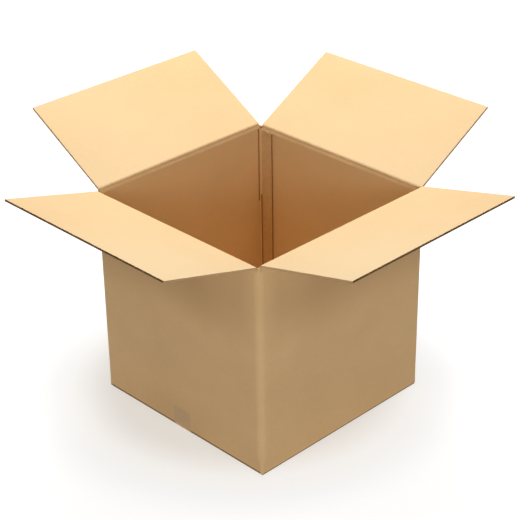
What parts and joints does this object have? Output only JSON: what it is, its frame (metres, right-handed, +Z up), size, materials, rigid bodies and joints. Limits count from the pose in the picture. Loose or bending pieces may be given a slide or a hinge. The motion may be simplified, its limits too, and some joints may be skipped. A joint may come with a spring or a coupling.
{
  "type": "open cardboard box",
  "caption": "Open square corrugated carton with four hinged top flaps and a taped, closed bottom.",
  "frame": {"origin": "on the ground, below the middle of the carton's four walls, at the underside of the bottom tape", "axes": "+Z up out of the open top; X and Y square to the walls; the near corner in the picture is at -X -Y, and the bottom tape runs along X"},
  "size_m": [0.8778, 0.8772, 0.5804],
  "materials": {
    "kraft_board": "plain kraft liner, matt",
    "kraft_paper": "plain kraft liner, matt",
    "tape_film": "thin tan packing tape"
  },
  "bodies": {
    "carton": {"carton_body": "kraft_board", "bottom_tape": "tape_film"},
    "front_left": {"front_left_flap": "kraft_paper"},
    "front_right": {"front_right_flap": "kraft_paper"},
    "back_left": {"back_left_flap": "kraft_paper"},
    "back_right": {"back_right_flap": "kraft_paper"}
  },
  "joints": [
    {"name": "front_left_crease", "type": "hinge", "parent": "carton", "child": "front_left", "pos_m": [-0.229, 0, 0.4574], "axis": [0, -1, 0], "range_deg": [-164.4, 95.6]},
    {"name": "front_right_crease", "type": "hinge", "parent": "carton", "child": "front_right", "pos_m": [0, -0.229, 0.4617], "axis": [1, 0, 0], "range_deg": [-166.2, 93.8]},
    {"name": "back_left_crease", "type": "hinge", "parent": "carton", "child": "back_left", "pos_m": [0, 0.229, 0.4617], "axis": [-1, 0, 0], "range_deg": [-149.7, 110.3]},
    {"name": "back_right_crease", "type": "hinge", "parent": "carton", "child": "back_right", "pos_m": [0.229, 0, 0.4574], "axis": [0, 1, 0], "range_deg": [-150.9, 109.1]}
  ]
}
